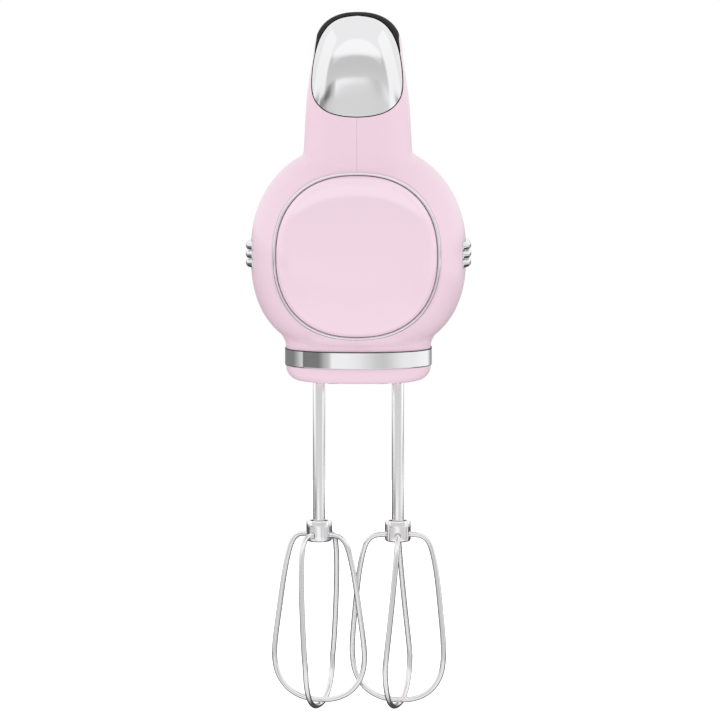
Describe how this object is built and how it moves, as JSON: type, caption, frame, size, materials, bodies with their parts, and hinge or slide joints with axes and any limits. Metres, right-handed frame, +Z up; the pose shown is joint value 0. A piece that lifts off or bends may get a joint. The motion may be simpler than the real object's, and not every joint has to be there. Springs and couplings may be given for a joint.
{
  "type": "hand mixer",
  "caption": "Hand mixer with a round motor body, a closed handle loop, an eject lever in its nose and removable crossed-wire whisks driven through a worm gearbox.",
  "frame": {"origin": "middle of the hand grip", "axes": "+Z up, -Y towards the front cap, +X to the right seen from behind the front, whisks point down -Z"},
  "size_m": [0.0898, 0.215, 0.2754],
  "materials": {
    "pink_plastic": "glossy pale pink moulding",
    "chrome_trim": "bright plated trim",
    "chrome_wire": "polished plated steel wire and rod",
    "black_plastic": "glossy black moulding",
    "nylon": "natural nylon",
    "steel": "machined steel",
    "black_rubber": "matt black rubber",
    "circuit_board": "green laminate",
    "cast_aluminium": "die-cast aluminium",
    "bronze": "sintered bronze",
    "copper": "enamelled copper wire and bars",
    "core_iron": "stacked electrical steel",
    "carbon": "pressed carbon"
  },
  "bodies": {
    "housing": {"housing_left": "pink_plastic", "housing_right": "pink_plastic", "base_cover": "pink_plastic", "chrome_band": "chrome_trim", "front_cap": "pink_plastic", "front_ring": "chrome_trim", "side_trim_left": "chrome_trim", "side_trim_right": "chrome_trim", "control_panel": "black_plastic", "lever_pin": "steel", "ejector_spring": "steel", "key_mat": "black_rubber", "display_board": "circuit_board", "control_board": "circuit_board", "heel_pads": "black_rubber", "cord_inlet": "black_rubber", "housing_screws": "steel", "base_screws": "steel", "gearbox_frame": "cast_aluminium", "gearbox_cover": "cast_aluminium", "spindle_bushes": "bronze", "shaft_bushes": "bronze", "front_bracket": "cast_aluminium", "rear_bracket": "cast_aluminium", "stator_core": "core_iron", "field_coils": "copper", "motor_screws": "steel", "brush_holders": "bronze", "carbon_brushes": "carbon", "brush_springs": "steel", "socket_rings": "chrome_trim"},
    "rotor": {"armature_shaft": "steel", "armature_core": "core_iron", "armature_windings": "copper", "commutator": "copper", "fan": "nylon", "worm": "steel"},
    "drive_left": {"spindle_left": "steel", "worm_wheel_left": "nylon"},
    "drive_right": {"spindle_right": "steel", "worm_wheel_right": "nylon"},
    "whisk_left": {"whisk_left_shaft": "chrome_wire", "whisk_left_collar": "chrome_wire", "whisk_left_loop_a": "chrome_wire", "whisk_left_loop_b": "chrome_wire"},
    "whisk_right": {"whisk_right_shaft": "chrome_wire", "whisk_right_collar": "chrome_wire", "whisk_right_loop_a": "chrome_wire", "whisk_right_loop_b": "chrome_wire"},
    "lever": {"lever_plate": "chrome_trim", "lever_arm": "black_plastic"},
    "ejector": {"ejector_yoke": "nylon"},
    "power_button": {"power_key": "chrome_trim"},
    "turbo_button": {"turbo_key": "chrome_trim"},
    "faster_button": {"faster_key": "chrome_trim"},
    "slower_button": {"slower_key": "chrome_trim"}
  },
  "joints": [
    {"name": "rotor_spin", "type": "hinge", "parent": "housing", "child": "rotor", "pos_m": [0, 0, -0.087], "axis": [0, 1, 0], "continuous": true},
    {"name": "drive_left_spin", "type": "hinge", "parent": "housing", "child": "drive_left", "pos_m": [-0.0156, -0.06, 0], "axis": [0, 0, 1], "continuous": true},
    {"name": "drive_right_spin", "type": "hinge", "parent": "housing", "child": "drive_right", "pos_m": [0.0156, -0.06, 0], "axis": [0, 0, 1], "continuous": true},
    {"name": "lever_press", "type": "hinge", "parent": "housing", "child": "lever", "pos_m": [0, -0.088, -0.026], "axis": [-1, 0, 0], "range_deg": [0, 8], "stiffness_Nm_per_rad": 1, "springref_deg": -22.92},
    {"name": "ejector_push", "type": "slide", "parent": "housing", "child": "ejector", "axis": [0, 0, -1], "range_m": [0, 0.004], "deforming": ["ejector_spring"]},
    {"name": "whisk_left_release", "type": "slide", "parent": "drive_left", "child": "whisk_left", "axis": [0, 0, -1], "range_m": [0, 0.031]},
    {"name": "whisk_right_release", "type": "slide", "parent": "drive_right", "child": "whisk_right", "axis": [0, 0, -1], "range_m": [0, 0.031]},
    {"name": "power_press", "type": "slide", "parent": "housing", "child": "power_button", "axis": [0, 0, -1], "range_m": [0, 0.0012], "stiffness_N_per_m": 800, "springref_m": -0.001},
    {"name": "turbo_press", "type": "slide", "parent": "housing", "child": "turbo_button", "axis": [0, 0, -1], "range_m": [0, 0.0012], "stiffness_N_per_m": 800, "springref_m": -0.001},
    {"name": "faster_press", "type": "slide", "parent": "housing", "child": "faster_button", "axis": [0, 0, -1], "range_m": [0, 0.0012], "stiffness_N_per_m": 800, "springref_m": -0.001},
    {"name": "slower_press", "type": "slide", "parent": "housing", "child": "slower_button", "axis": [0, 0, -1], "range_m": [0, 0.0012], "stiffness_N_per_m": 800, "springref_m": -0.001}
  ],
  "couplings": [
    {"joint": "drive_right_spin", "follows": "rotor_spin", "ratio": 0.083333},
    {"joint": "drive_left_spin", "follows": "rotor_spin", "ratio": -0.083333},
    {"joint": "ejector_push", "follows": "lever_press", "m_per_rad": 0.028},
    {"joint": "whisk_left_release", "follows": "lever_press", "m_per_rad": 0.222},
    {"joint": "whisk_right_release", "follows": "lever_press", "m_per_rad": 0.222}
  ]
}
